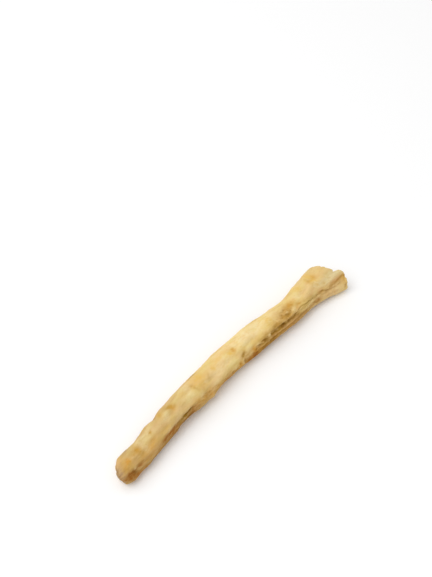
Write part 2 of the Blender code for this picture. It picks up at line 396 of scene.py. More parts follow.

# %% [markdown]
# ## Scars, pits and the rough patch
#
# Each side rootlet leaves a mark when the root is peeled: a low round wart with a groove round it,
# or a small pit. The ones that show are listed one by one, and those on the far side and the
# underside come from a seeded draw. A few wide, shallow pits and crests stand for the slow unevenness
# of the outline. Where skin has torn and dried rough it is uneven ground again, kept inside ovals.

# %% Scars and pits
# Warts: station, angle, radius and height
WARTS = (
    (-10.3, 187, 0.6, 0.2), (-0.7, 177, 0.45, 0.14), (12.6, 153, 0.42, 0.5), (11.9, 183, 0.32, 0.14),
    (14.3, 172, 0.32, 0.14), (18.3, 185, 0.35, 0.12), (-33.7, 116, 1.1, 0.08), (-29.5, 118, 0.8, 0.05),
    (22.6, 128, 0.8, 0.14), (26.8, 105, 1.2, 0.08), (-41.5, 124, 0.6, 0.08), (-37.4, 166, 0.6, 0.1),
    (20.5, 111, 0.45, 0.16), (19.3, 114, 0.4, 0.14), (17, 124, 0.4, 0.12), (21.3, 137, 0.4, 0.14),
    (-12.3, 162, 0.35, 0.14), (-11.1, 152, 0.35, 0.12), (-10.8, 171, 0.3, 0.16),
)
# Pits: station, angle, half length, half width, depth and any slant; a crest has a negative depth
PITS = (
    (1.3, 170, 0.5, 0.45, 0.25, -45), (2.1, 177, 0.36, 0.75, -0.42, -20), (2.4, 163, 0.4, 0.32, -0.16, -45),
    (3.1, 143, 0.95, 0.7, 0.06, -42), (6.7, 196, 0.7, 0.45, 0.16), (6.9, 168, 0.4, 0.7, -0.16),
    (10.8, 163, 0.4, 0.5, 0.08), (17.8, 165, 0.7, 0.35, 0.1), (20.2, 123, 0.45, 0.32, 0.08),
    (18, 125, 0.45, 0.25, 0.05), (19.8, 99, 1.1, 0.25, 0.07, 8), (14.7, 139, 0.6, 0.35, 0.06),
    (15.9, 134, 0.7, 0.35, 0.06), (25, 116, 0.7, 0.4, 0.06), (22, 112, 0.35, 0.3, 0.05),
    (-30, 77, 0.5, 0.4, 0.08), (-21.7, 74, 1.1, 0.6, 0.08, 40), (-38.9, 155, 0.6, 0.5, 0.06),
    (-37.1, 144, 0.5, 0.3, 0.05), (41.6, 187, 0.35, 0.3, 0.08), (34.9, 168, 0.9, 0.35, 0.04, 18),
    (-12.1, 158, 0.45, 0.55, 0.06), (-12, 132, 0.5, 0.4, 0.07), (-10.8, 172, 0.35, 0.55, 0.1),
    (36.5, 180, 3.5, 0.26, -0.09, 2), (36.5, 174, 3.5, 0.2, 0.08, 2), (37, 187, 3, 0.28, 0.08, 2),
    (38, 168, 2.5, 0.22, -0.08, -2), (-38.5, 42, 1.7, 1.6, -0.22), (-41, 46, 0.9, 1.4, -0.16),
    (-27.8, 40, 1.6, 1.6, -0.22), (28.6, 40, 1.6, 1.6, -0.28), (37, 205, 4.6, 2, 0.45),
    (-37.3, 201, 2, 1.8, 0.3), (-30.8, 210, 1.5, 1.6, -0.22), (-23.4, 209, 1.2, 1.6, -0.36),
    (-21.5, 20, 5, 2, 0.18), (-7.6, 38, 2.2, 2, 0.26), (42.2, 198, 0.6, 1, -0.24),
    (-42.6, 196, 1, 1.6, 0.35), (-42.6, 42, 1, 1.8, 0.28),
)
RING_WIDTH = 1.5
RING_SHARE = 0.6
HIDDEN_SCARS = 16
HIDDEN_SIDES = (215.0, 355.0)

scars = np.zeros_like(x)
draw = np.random.default_rng(21)
hidden_warts = tuple(zip(
    draw.uniform(-39, 37, HIDDEN_SCARS), draw.uniform(*HIDDEN_SIDES, HIDDEN_SCARS),
    draw.uniform(0.3, 0.65, HIDDEN_SCARS), draw.uniform(0.05, 0.16, HIDDEN_SCARS),
))
for station, side, radius, height in WARTS + hidden_warts:
    dome = spot(x, angle, station, side, radius, radius)
    ring = spot(x, angle, station, side, RING_WIDTH * radius, RING_WIDTH * radius) - dome
    scars += height * dome - RING_SHARE * height * ring
for station, side, length, width, depth, *slant in PITS:
    scars -= depth * spot(x, angle, station, side, length, width, *slant)
tell_span("scars", scars)

# %% The rough patches
# Station, angle, half length, half width and strength
ROUGH_PATCHES = (
    (20, 120, 2.9, 2.1, 1.15), (16, 138, 2.4, 1.2, 0.9), (24.4, 111, 1.3, 1.2, 0.2),
    (21.5, 141, 2, 1.1, 0.8), (-40, 158, 2.2, 1.4, 0.5), (12, 150, 2.6, 0.9, 0.5), (35, 166, 4, 1.2, 0.4),
    (-11.8, 160, 1.6, 2.4, 0.3), (1.5, 172, 1.6, 1.2, 0.25), (6, 180, 2, 1, 0.5),
)
TORN_HEIGHT = 0.075
TORN_DEPTH = 0.03

rough = np.zeros_like(x)
for station, side, length, width, strength in ROUGH_PATCHES:
    rough = np.maximum(rough, np.minimum(strength * spot(x, angle, station, side, length, width), 1))
torn_ground = uneven(x, angle, 1.5, 1.1, 31)
torn = rough * (TORN_HEIGHT * torn_ground - TORN_DEPTH * grooves(uneven(x, angle, 2.4, 1.0, 32), 0.4))
tell_span("torn skin", torn)

# %% The thin splits in the creases
# Each split: its path as (station, angle) pairs and its strength as (station, value) pairs
LINES = (
    (
        ((-22, 168), (-20.5, 167), (-18.5, 164), (-17.5, 158), (-16.3, 152), (-15.4, 150)),
        ((-22, 0.1), (-20.5, 0.8), (-18.5, 1), (-17.5, 0.75), (-16.3, 0.25), (-15.4, 0)),
    ), (
        ((7.8, 169), (10.3, 168), (10.9, 164), (12.4, 166), (14.8, 163), (17.8, 165), (19.8, 162),
         (21.5, 162), (22.6, 157), (23.7, 142), (25.1, 133), (26.5, 134), (28, 138), (29.8, 154),
         (31.9, 158), (33.6, 158), (35.5, 171), (37, 166), (38.3, 161), (41.8, 156)),
        ((7.8, 0), (8.6, 0.5), (10.3, 0.5), (10.9, 0.7), (12, 0.2), (12.8, 0.1), (13.4, 0.7),
         (16.2, 0.7), (17.8, 0.9), (19, 0.5), (19.8, 0.7), (20.8, 0.4), (21.6, 0.6), (23.5, 0.85),
         (26, 0.8), (28, 0.9), (30, 0.6), (32, 0.35), (33.6, 0.35), (35.3, 0.35), (37, 0.35), (41.8, 0.5)),
    ), (
        ((24, 183), (27, 182), (29, 181), (31.6, 184), (34, 184)),
        ((24, 0), (26, 0.4), (29, 0.5), (31.6, 0.7), (34, 0)),
    ),
)
LINE_WIDTH = 4.0
LINE_DEPTH = 0.09
LINE_WANDER = 1.6


def tell_cover(name, field, above):
    """Prints on what share of the skin a field is above a value."""
    print(name, "is above", above, "on", (field > above).mean().round(3), "of the skin")


lines = np.zeros_like(x)
wander = LINE_WANDER * uneven(x, np.zeros_like(angle), 3.0, 3.0, 33)
for path, strengths in LINES:
    inside = (x > path[0][0]) & (x < path[-1][0])
    lines += np.where(inside, -furrow(x, angle - wander, path, strengths, LINE_WIDTH), 0.0)
tell_cover("split", lines, 0.3)

# %% Crumbs on the walls of the furrow, and its bed filled where pith has dried in it
CRUMB_HEIGHT = 0.08
DEEP_FURROW = 0.5
SHALLOW_SHARE = 0.2
WALL_OFFSET, WALL_WIDTH = 3.0, 14.0
BED_OFFSET, BED_WIDTH = 6.0, 28.0
FILL_SPREAD = 22
FILL_SOFTNESS = 0.06
# Station and share of the sag that is filled
FILLED = (
    (-43, 0.7), (-36, 0.7), (-30, 0.8), (-26, 0.7), (-21, 0.35), (-17, 0.45), (-14, 0.85), (-10, 1), (1, 1),
    (6, 0.9), (10, 0.8), (13, 0.65), (18, 0.45), (22, 0.65), (26, 0.95), (34, 0.95), (43, 0.8),
)

bottom = curve_through(x, FURROW_ANGLE)
steep = np.clip(curve_through(x, FURROW_DEPTH) / DEEP_FURROW, SHALLOW_SHARE, 1)
walls = beside(angle, bottom + WALL_OFFSET, WALL_WIDTH) * steep
crumbs = CRUMB_HEIGHT * walls * uneven(x, angle, 1.9, 1.1, 34)
sag = FILL_SOFTNESS * np.logaddexp(0, (blurred(form, 1, FILL_SPREAD) - form) / FILL_SOFTNESS)
fill = curve_through(x, FILLED) * beside(angle, bottom + BED_OFFSET, BED_WIDTH) * sag
splits = crumbs + fill - LINE_DEPTH * lines
tell_span("filling", fill)
tell_span("splits, crumbs and filling", splits)

# %% [markdown]
# ## One closed skin
#
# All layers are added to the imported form's reach, and what would lie below the table is raised to
# it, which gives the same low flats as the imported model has. The two cut faces carry on inwards
# from the last ring: each of their rings is a share of the rim, down to one point, so that the
# mesh is closed. The cut is not smooth: the wood snaps in rays, and the bark dries to a raised
# ring with a sunken line inside it.

# %% Add the layers
reach = form + sum(relief.values()) + scars + torn + splits
skin = place(x, angle, 1.0, reach)
tell_span("reach", reach)

# %% Ragged rims
# Chips: end (-1 thin, 1 flared), angle, width in degrees and depth. The flared rim has a notch
# where the pale lobe has chipped.
CHIPS = (
    (1, 108, 3, 0.5), (1, 118, 6, -0.7), (1, 146, 16, 0.5), (1, 168, 8, 0.55), (1, 188, 14, 0.15),
    (1, 82, 5, 0.15), (1, 48, 6, 0.2), (-1, 90, 24, 0.35), (-1, 292, 34, 0.25), (-1, 225, 22, -0.4),
    (-1, 160, 12, -0.15), (1, 204, 9, -0.3),
)
RAGGED = 0.08
CHIP_REACH = 2.2


def rim_chips(x, angle, side):
    """How far the rim at that end is broken back: ragged ground plus bell-shaped chips."""
    back = RAGGED * uneven(np.zeros_like(x), angle, 1.0, 1.1, 41 + side, 64)
    return back + sum(depth * beside(angle, at, width) for end, at, width, depth in CHIPS if end == side)


for side in (-1, 1):
    near = np.clip(1 - (LENGTH / 2 - side * x) / CHIP_REACH, 0, 1) ** 2
    skin[..., 0] -= side * near * rim_chips(x, angle, side)
print("skin from", skin.min((0, 1)).round(2), "to", skin.max((0, 1)).round(2), "mm")

# %% The cut faces
CUT_RINGS = 20
# The raised bark ring and the sunken line inside it: share of the reach, width and height
CUT_BANDS = ((0.88, 0.09, 0.10), (0.74, 0.035, -0.14))
RAY_HEIGHT = 0.07
FINE_RAY_HEIGHT = 0.035


def cut_grain(share, angle, seed):
    """Height of the cut's grain along X: two bell-shaped bands and the snapped rays, level at the rim."""
    height = RAY_HEIGHT * uneven(9.0 * share, angle, 7.0, 1.5, seed)
    height += FINE_RAY_HEIGHT * uneven(14.0 * share, angle, 1.8, 1.2, seed + 1)
    for at, width, size in CUT_BANDS:
        height += size * np.exp(-(((share - at) / width) ** 2))
    return height * np.sin(np.pi * share) ** 0.5 * np.minimum(2 * share, 1)


def cut_face(row, side, seed):
    """The rings of a cut from just inside the rim to just outside its middle, and the middle point."""
    share = np.linspace(1, 0, CUT_RINGS + 1)[1:-1, None] * np.ones(SIDES)
    station = np.full(share.shape, x[row, 0])
    turned = angle[row] * np.ones_like(share)
    rings = place(station, turned, share, reach[row])
    rings[..., 0] -= side * rim_chips(station, turned, side) * share**2
    rings[..., 0] += side * cut_grain(share, turned, seed)
    return rings, rings[-1].mean(0)[None], share


thin_rings, thin_middle, cut_share = cut_face(0, -1, 51)
flared_rings, flared_middle, _ = cut_face(-1, 1, 61)
print("cut faces:", cut_share.shape, "points each")

# %% Join the skin and the cuts
SHARP_ANGLE = 65.0


def ring_faces(first, second):
    """Four-sided faces between two rings of point numbers, wound so that they face outwards."""
    return np.stack([first, np.roll(first, -1), np.roll(second, -1), second], -1).reshape(-1, 4)


numbers = np.arange(RINGS * SIDES).reshape(RINGS, SIDES)
thin_numbers = numbers.size + np.arange(cut_share.size).reshape(cut_share.shape)
flared_numbers = thin_numbers + cut_share.size
thin_point = flared_numbers.max() + 1
flared_point = thin_point + 1
stack = np.concatenate([thin_numbers[::-1], numbers, flared_numbers])
quads = np.concatenate([ring_faces(stack[k], stack[k + 1]) for k in range(len(stack) - 1)])
thin_fan = np.stack([np.roll(stack[0], -1), stack[0], np.full(SIDES, thin_point)], -1)
flared_fan = np.stack([stack[-1], np.roll(stack[-1], -1), np.full(SIDES, flared_point)], -1)
points = np.concatenate([
    skin.reshape(-1, 3), thin_rings.reshape(-1, 3), flared_rings.reshape(-1, 3), thin_middle, flared_middle,
])
points = (points + to_frame) * MM
print("points:", len(points), "triangles:", 2 * len(quads) + 2 * SIDES)

mesh = bpy.data.meshes.new("dried_glehnia_root")
mesh.from_pydata(points.tolist(), [], quads.tolist() + thin_fan.tolist() + flared_fan.tolist())
mesh.validate()
root = bpy.data.objects.new("dried_glehnia_root", mesh)
scene.collection.objects.link(root)
mesh.shade_smooth()
mesh.set_sharp_from_angle(angle=np.radians(SHARP_ANGLE))

# %% [markdown]
# ## What the skin remembers
#
# The colour of a dried root follows its form and its history: the furrows, splits and pits are
# painted brown as shade, the underside is painted browner as shade, the ridges are painted pale as
# a highlight, and bruises dry amber or rust. A noise texture alone can't know where a furrow is. So
# the same arrays that shaped the skin are kept on the points as attributes, each from 0 to 1, and
# the material reads them by name.

# %% Painted shade in the hollows and painted highlight on the ridges, from the reach itself
# Wide and fine blurs in grid steps along and round, and how deep or high a place counts as full
WIDE_BLUR = (5, 9)
FINE_BLUR = (3, 3)
DEEP, FINE_DEEP = 0.70, 0.50
HIGH, FINE_HIGH = 0.40, 0.25
LEVEL = 0.05

sunk = blurred(reach, *WIDE_BLUR) - reach
fine_sunk = blurred(reach, *FINE_BLUR) - reach
# Sunk places are painted darker as shade, and raised places paler as a highlight
hollow = np.clip(sunk / DEEP + fine_sunk / FINE_DEEP - LEVEL, 0, 1)
ridge_highlight = np.clip(-sunk / HIGH - fine_sunk / FINE_HIGH, 0, 1)
tell_cover("hollow", hollow, 0.5)
tell_cover("ridge_highlight", ridge_highlight, 0.5)

# %% Painted shade on the underside
# Station and strength of the painted shade that makes the underside darker and browner
LOWER_SHADE_STRENGTH = (
    (-43, 0.6), (-36, 0.75), (-28, 0.75), (-23, 0.85), (-16, 0.58), (-11, 0.4), (-5, 0.6), (1, 0.6),
    (6, 0.9), (20, 1), (26, 0.8), (31, 0.3), (35, 0.08), (43, 0.05),
)
LOWER_SHADE_MIDDLE = 258.0
LOWER_SHADE_HALF = 120.0
LOWER_SHADE_FADE = 54.0
LOWER_SHADE_WANDER = 7.0

# The lower side is painted darker and browner, as shade
from_middle = np.abs(turn_between(angle, LOWER_SHADE_MIDDLE)) + LOWER_SHADE_WANDER * uneven(x, angle, 4.0, 2.5, 71)
lower_shade = np.clip((LOWER_SHADE_HALF - from_middle) / LOWER_SHADE_FADE, 0, 1) * curve_through(x, LOWER_SHADE_STRENGTH)
lower_shade = np.clip(lower_shade, 0, 1)
tell_cover("painted_lower_shade", lower_shade, 0.5)

# %% Painted shade in the furrows, and the darker ends
# Station and strength, then station and angle, of the band of painted shade along the furrow
FURROW_SHADE_STRENGTH = (
    (-43, 0), (-24, 0), (-21, 0.28), (-18, 0.28), (-15.5, 0.04), (-9, 0), (-5, 0.15), (2, 0.1), (8, 0.15),
    (12, 0.4), (18, 0.45), (23, 0.25), (28, 0.1), (34, 0.2), (38, 0.2), (43, 0.2),
)
FURROW_SHADE_ANGLE = (
    (-43, 150), (-21, 167), (-16, 155), (-5, 178), (4, 182), (8, 168), (15, 158), (22, 158), (28, 146),
    (35, 164), (43, 158),
)
FURROW_SHADE_WIDTH = 9.0
FURROW_SHADE_DRIFT = 3.0
FURROW_SHADE_PATCHES = 0.55
SHADE_IN_SPLITS = 0.85
SHADE_IN_TEARS = 0.2
TEAR_LEVEL = 0.1
# Station and strength of a grey tint that darkens the ends
ENDS_DARKER_STRENGTH = (
    (-43, 0.9), (-36, 1), (-24, 1), (-14, 0.6), (-6, 0.2), (4, 0), (24, 0), (33, 0.4), (43, 0.5),
)

# Painted shade along the furrow, in the splits and in the low parts of torn skin
drift = FURROW_SHADE_DRIFT * uneven(x, angle, 3.0, 2.0, 72)
furrow_shade_band = curve_through(x, FURROW_SHADE_STRENGTH) * beside(angle + drift, curve_through(x, FURROW_SHADE_ANGLE), FURROW_SHADE_WIDTH)
furrow_shade = furrow_shade_band * (1 + FURROW_SHADE_PATCHES * uneven(x, angle, 2.0, 1.0, 73)) + SHADE_IN_SPLITS * lines
furrow_shade = np.clip(furrow_shade + SHADE_IN_TEARS * rough * np.clip(-torn_ground - TEAR_LEVEL, 0, 1), 0, 1)
ends_darker = curve_through(x, ENDS_DARKER_STRENGTH)
tell_cover("painted_furrow_shade", furrow_shade, 0.4)

# %% Stains listed one by one
# Each stain: station, angle, half length, half width, strength in percent and any slant
STAINS = {}
STAINS["cream"] = (
    (26.3, 84, 1.8, 1.7, 50), (8, 80, 13, 2.6, 60), (-33.7, 116, 1.3, 1, 40), (-41.4, 124, 0.7, 0.8, 20),
    (41.1, 125, 1.2, 1.3, 130), (38.5, 120, 3, 1.4, 70), (-5.5, 112, 2.4, 1.2, 40),
    (-1.2, 118, 2.2, 1.4, 50), (3.8, 125, 1.4, 1.2, 40), (34.3, 109, 1.9, 1.1, 100),
    (36.8, 183, 4, 1.1, 50), (-24.4, 91, 1.2, 1, 45), (-34.3, 70, 1.3, 1, 45), (-13.4, 147, 1, 0.8, 50),
    (37, 135, 4, 1.2, 45), (-31, 70, 3, 1.6, 35), (-17, 105, 3, 1.4, 35), (-15.5, 72, 2.2, 1.2, 35),
    (12, 95, 6, 1.4, 12), (-10.2, 110, 0.9, 0.7, 40),
)
STAINS["honey"] = (
    (-11.4, 84, 2.6, 2.6, 65), (-6.2, 89, 0.9, 0.75, 70), (-3.6, 79, 2, 0.8, 45), (-5.7, 92, 1.2, 1.2, 40),
    (-1.1, 71, 1, 0.5, 40), (-17.4, 82, 1.2, 0.9, 35), (3.6, 124, 1.2, 1, 75), (28.1, 61, 1.2, 1, 60),
    (28.6, 75, 0.6, 0.4, 40), (14.5, 101, 1.3, 1.5, 65), (34, 78, 3, 2.3, 72), (0.6, 95, 1.6, 1.2, 70),
    (-35.2, 62, 0.8, 0.9, 30), (-40.5, 76, 1.6, 1.5, 50), (-31.5, 118, 3, 1, 30),
    (-26.5, 128, 2.5, 0.9, 40), (22.5, 92, 2.6, 1, 60), (8.5, 128, 2, 0.8, 30), (-15.3, 153, 1.8, 1.1, 75),
    (-12.7, 164, 1.1, 0.8, 60), (-10.6, 153, 1.2, 0.9, 60), (-40.5, 105, 1.5, 1.2, 50),
    (-24.8, 48, 0.9, 1.7, 40, 20), (7.4, 148, 1.6, 1, 50), (41, 168, 1, 1.7, 90), (27.4, 110, 1, 0.8, 40),
)
STAINS["olive"] = (
    (-35.4, 95, 0.95, 1.45, 118), (-36.9, 96, 0.6, 0.8, 60), (-35, 118, 1.5, 0.9, 60),
    (-21.7, 74, 1.3, 0.75, 120, 40), (-24.9, 50, 0.45, 1.3, 55, 20), (-40.3, 116, 1.2, 0.8, 55),
    (-12.2, 150, 0.6, 1.5, 30), (-12.3, 166, 0.4, 0.9, 40), (-11, 160, 0.4, 0.6, 55),
    (-8.8, 101, 0.45, 1.1, 32, 30), (-13.8, 92, 0.45, 1.4, 62, -15), (-13.2, 180, 1, 0.8, 60),
    (-30.6, 106, 1.3, 0.4, 45), (19.8, 99, 1.4, 0.35, 50, 8), (15.6, 137, 1.8, 0.7, 70),
    (-34, 160, 4, 0.8, 45), (32.3, 78, 0.6, 1.4, 40), (19.9, 124, 1.6, 0.6, 70), (-30, 77, 0.6, 0.5, 90),
    (26.8, 126, 1.6, 0.5, 40), (11, 138, 2.4, 0.8, 75), (5, 168, 2, 1, 45), (-6, 168, 2.5, 1, 40),
    (3.1, 145, 1.05, 0.85, 110, -42), (41.3, 167, 0.6, 1.2, 60), (28.9, 135, 1.4, 0.6, 75),
    (25.6, 36, 1.3, 1.5, 35),
)
STAINS["amber"] = (
    (-38.9, 95, 0.8, 0.85, 110), (-40.3, 106, 1.2, 1, 30), (-21.5, 88, 0.5, 0.8, 50),
    (1.5, 95, 0.65, 0.65, 95), (35.6, 76, 0.9, 1, 30), (25.5, 114, 1.2, 0.8, 50), (22.7, 91, 1.5, 0.8, 70),
    (1.2, 171, 0.7, 0.65, 130, -45), (0.6, 188, 0.7, 0.6, 80), (6.9, 167, 0.9, 1.2, 90),
    (-32, 127, 1.2, 0.9, 60), (-12.5, 172, 1.4, 0.7, 30), (-15.2, 157, 1.5, 1, 60),
    (-13.2, 163, 1, 0.9, 40), (37.8, 189, 0.9, 0.5, 40), (-42, 150, 1.2, 1.5, 40),
    (-35.4, 92, 0.8, 1.5, 35), (-34, 131, 1.2, 0.8, 40), (-10.4, 178, 0.8, 0.6, 60),
    (-7.8, 170, 0.9, 0.6, 45), (24, 124, 0.6, 0.7, 35),
)
# Rust-brown bruises; the long bands near 190 degrees on the lower edge are painted shade
STAINS["rust_and_edge_shade"] = (
    (-40.2, 160, 1.9, 1.3, 98), (-41.5, 160, 0.9, 0.8, 45), (-39.6, 148, 1, 0.9, 80),
    (-39.7, 184, 2.4, 1, 40), (-36.8, 147, 0.9, 0.7, 75), (37.5, 167, 1.6, 0.4, 35),
    (-36, 141, 1.6, 0.5, 40), (-25.6, 163, 1.9, 0.75, 110), (6.7, 186, 0.9, 0.6, 50),
    (2.2, 174, 0.5, 0.5, 35), (39.9, 169, 0.8, 0.7, 35), (-24.4, 184, 3, 0.6, 50),
    (-17.6, 177, 2.4, 0.5, 50), (-38.4, 190, 3.2, 0.5, 35), (6.7, 184, 0.8, 0.4, 30),
    (-27.8, 163, 1.5, 0.8, 80), (-23.4, 164, 1.4, 0.7, 50), (6.6, 191, 1, 0.9, 130),
    (4.4, 192, 1.5, 0.8, 85), (-3, 190, 5.5, 0.8, 60), (28.8, 182, 3.2, 0.4, 55), (31.6, 184, 1.1, 0.6, 45),
    (33.1, 154, 0.9, 0.5, 45), (39.5, 158, 2.2, 0.45, 45), (41.6, 187, 0.45, 0.45, 50),
    (-17, 170, 1.6, 0.8, 60), (37, 173, 2.6, 0.25, 35, 2), (13.3, 172, 1.8, 0.5, 40),
    (36.5, 187, 3, 0.28, 40, 2), (22.3, 169, 2, 0.6, 45),
)
STAINS["umber"] = (
    (-38.9, 155, 0.8, 0.8, 80), (-37.1, 144, 0.55, 0.35, 30), (3.1, 143, 0.7, 0.5, 30, -42),
    (10.8, 163, 0.5, 0.6, 30), (13.3, 164, 0.4, 0.4, 20), (14.8, 163, 0.7, 0.4, 30),
    (17.8, 165, 0.85, 0.45, 90), (19.8, 162, 0.5, 0.35, 45), (20.2, 123, 0.5, 0.45, 30),
    (19.8, 99, 1, 0.28, 8, 8), (-11.2, 38, 1.2, 0.5, 50), (-21, 190, 5, 0.8, 60),
    (-18.5, 184, 1.6, 0.5, 50), (11.5, 196, 4.5, 0.9, 65), (35.2, 170, 0.9, 0.35, 30, 18),
    (14.7, 139, 0.9, 0.6, 20), (-12.1, 158, 0.5, 0.6, 15), (8.8, 166, 1.3, 0.35, 45),
    (11.6, 168, 0.8, 0.4, 45), (2.9, 174, 0.35, 0.7, 35, -20), (24.3, 181, 1.2, 0.5, 35),
    (20.5, 191, 4, 0.7, 35),
)
# Pale crests and bumps, partly real and partly painted light that lifts flanks lying in shade
STAINS["pale_and_painted_light"] = (
    (12.6, 153, 0.55, 0.5, 140), (11.9, 183, 0.35, 0.3, 50), (14.3, 172, 0.4, 0.3, 10),
    (2.1, 177, 0.4, 0.65, 85, -20), (2.4, 163, 0.4, 0.3, 50, -45), (22.3, 126, 1, 0.6, 70, -30),
    (23.3, 116, 0.8, 0.5, 45), (25, 158, 1.4, 0.5, 30), (28.9, 168, 1.5, 0.7, 120),
    (41, 139, 1.1, 0.8, 115), (35.1, 161, 0.7, 0.5, 30), (32.2, 169, 1.2, 0.5, 50),
    (4.1, 173, 0.6, 0.5, 50), (-1.3, 167, 0.9, 0.5, 55), (-15.8, 157, 0.9, 0.6, 50), (19.3, 91, 0.9, 1, 45),
    (-35.8, 114, 0.9, 0.8, 30), (-20.8, 116, 1.2, 1, 45), (-22.2, 153, 1.3, 0.5, 45),
    (-25.6, 145, 1.2, 0.6, 45), (40.9, 182, 0.8, 0.6, 50), (0, 171, 0.6, 0.5, 35),
    (-7.7, 146, 1.2, 0.6, 95), (5.4, 168, 0.7, 0.8, 55), (-13.4, 160, 0.8, 0.8, 55),
    (2.9, 124, 0.7, 0.6, 35), (40, 181, 1.2, 0.8, 40), (-38.3, 142, 0.4, 0.5, 40),
    (-37.4, 166, 0.7, 0.4, 20), (8, 152, 0.8, 0.4, 50), (20.4, 111, 0.45, 0.4, 80),
    (19.3, 114, 0.3, 0.3, 35), (36.4, 180, 2.6, 0.4, 35, 2), (-0.7, 177, 0.4, 0.4, 50),
    (38.2, 168, 2.2, 0.3, 45, -2), (0.6, 190, 0.25, 0.4, 60),
)
# Grey on the thin end's rim and upper edge: painted shade
STAINS["grey_rim_shade"] = (
    (-42.3, 88, 1.2, 2.4, 90), (-42.2, 114, 1.1, 1.6, 75), (-42.4, 140, 0.7, 1.2, 60),
    (-38, 42, 1.6, 0.7, 70), (-41, 72, 1.8, 2.6, 25),
)
STAINS["rosy"] = (
    (-41.3, 63, 1.2, 1.2, 50), (38.7, 149, 2.6, 0.7, 85), (36.2, 178, 4, 1.3, 45),
    (33.3, 143, 1.5, 0.8, 70), (-9, 150, 3, 1, 35), (21, 178, 4, 0.6, 40),
)
print("by hand:", {kind: len(places) for kind, places in STAINS.items()})

# %% Stains on the hidden sides by a seeded draw
# How many of each kind, in the order of the table above
HIDDEN_STAINS = (6, 6, 5, 6, 6, 5, 4, 2, 5)
EDGE_BLOTCHES = 0.24
EDGE_GRAIN = 0.10


def stained(places, seed):
    """The stains of one kind: 1 minus the product of what each leaves clear, with uneven edges."""
    edge = 1 + EDGE_BLOTCHES * uneven(x, angle, 2.2, 1.5, seed)
    edge += EDGE_GRAIN * uneven(x, angle, 0.9, 0.7, seed + 1)
    clear = np.ones_like(x)
    for station, side, length, width, percent, *slant in places:
        cover = percent / 100 * spot(x, angle, station, side, length, width, *slant)
        clear *= 1 - np.clip(cover * edge, 0, 1)
    return 1 - clear


fields = {"hollow": hollow, "ridge_highlight": ridge_highlight, "rough": rough, "lower_shade": lower_shade, "furrow_shade": furrow_shade, "ends_darker": ends_darker}
for order, (kind, count) in enumerate(zip(STAINS, HIDDEN_STAINS)):
    draw = np.random.default_rng(70 + order)
    middle = draw.uniform(-40, 40, count), draw.uniform(*HIDDEN_SIDES, count)
    size = draw.uniform(0.8, 3.0, count), draw.uniform(0.6, 1.6, count)
    slant, percent = draw.uniform(-30, 30, count), draw.uniform(30, 80, count)
    fields[kind] = stained(STAINS[kind] + tuple(zip(*middle, *size, percent, slant)), 80 + 2 * order)
    tell_cover(kind, fields[kind], 0.3)

# %% Put the attributes on the points
# How fast a stain fades from the rim into the cut, and how much painted shade greys the thin and the flared
# cut
FADE_POWER = 6
CUT_SHADE = (1.0, 0.2)


def whole(on_skin, on_cuts, in_middles=(0.0, 0.0)):
    """A field in the order of the mesh's points: the skin, the thin and the flared cut, their middles."""
    cuts = [np.broadcast_to(part, cut_share.shape).ravel() for part in on_cuts]
    return np.concatenate([np.broadcast_to(on_skin, x.shape).ravel(), *cuts, in_middles])


def keep(name, values, kind="FLOAT", part="value"):
    """Stores one number or vector a point under that name."""
    layer = mesh.attributes.new(name, kind, "POINT")
    layer.data.foreach_set(part, values.astype(np.float32).ravel())


share = whole(1.0, (cut_share, cut_share))
for name, field in fields.items():
    keep(name, whole(field, (field[0], field[-1])) * share**FADE_POWER)
keep("share", share)
keep("cut_shade", whole(0.0, CUT_SHADE, CUT_SHADE))
turned = np.radians(whole(angle, (angle[0], angle[0])))
keep("rays", np.stack([np.cos(turned), np.sin(turned), share], -1), "FLOAT_VECTOR", "vector")
print("attributes:", [layer.name for layer in mesh.attributes])

# %% [markdown]
# ## Colours and nodes
#
# Colours are given as sRGB hex values, and Blender mixes light in linear values, so one
# function turns one into the other. Another adds a node with its settings and links. In a Mix
# node for colours, socket 0 is the share, 6 and 7 are the colours and output 2 is the result.

# %% Helpers for materials


def linear(hex_colour):
    """An sRGB hex colour in linear light: c / 12.92 below 0.04045, and a power of 2.4 above it."""
    channels = [int(hex_colour[k:k + 2], 16) / 255 for k in (1, 3, 5)]
    return (*(c / 12.92 if c <= 0.04045 else ((c + 0.055) / 1.055) ** 2.4 for c in channels), 1.0)


def add_node(tree, kind, output, sockets=None, stops=(), **settings):
    """Adds a node, gives its sockets values or links and its ramp the stops, and returns an output."""
    node = tree.nodes.new("ShaderNode" + kind)
    for name, value in settings.items():
        setattr(node, name, value)
    for key, value in (sockets or {}).items():
        if isinstance(value, bpy.types.NodeSocket):
            tree.links.new(value, node.inputs[key])
        else:
            node.inputs[key].default_value = value
    for order, (position, colour) in enumerate(stops):
        ramp = node.color_ramp.elements
        stop = ramp[order] if order < 2 else ramp.new(position)
        stop.position, stop.color = position, linear(colour)
    return node.outputs[output]


def new_material(name):
    """Adds a material, and returns it with its node tree and its shader."""
    material = bpy.data.materials.new(name)
    material.use_nodes = True
    return material, material.node_tree, material.node_tree.nodes["Principled BSDF"]


print("straw in linear light:", [round(c, 3) for c in linear("#E2C27E")])

# %% [markdown]
# ## Dried root skin
#
# Peeled, boiled and sun-dried, the skin of this root is matte and a little powdery: pale straw,
# creamier in patches, amber where sap has dried, rosy tan in places, and painted brown as shade in
# every furrow. Noises of several sizes make the straw uneven. Along the root they are drawn out:
# clouds of 9 by 4.5 mm, hues of 4.4 by 2.2 mm, mottles of 2.7 by 1.3 mm and fibres 0.4 mm wide. The
# powder's grains of 0.2 mm are drawn coarser than real ones, or they wouldn't show. The stains, the
# painted shade and the painted highlights come from the attributes, and the powder breaks up their
# edges.

# %% Start the skin material with its spaces, noises and attributes
skin_material, tree, shader = new_material("dried root skin")

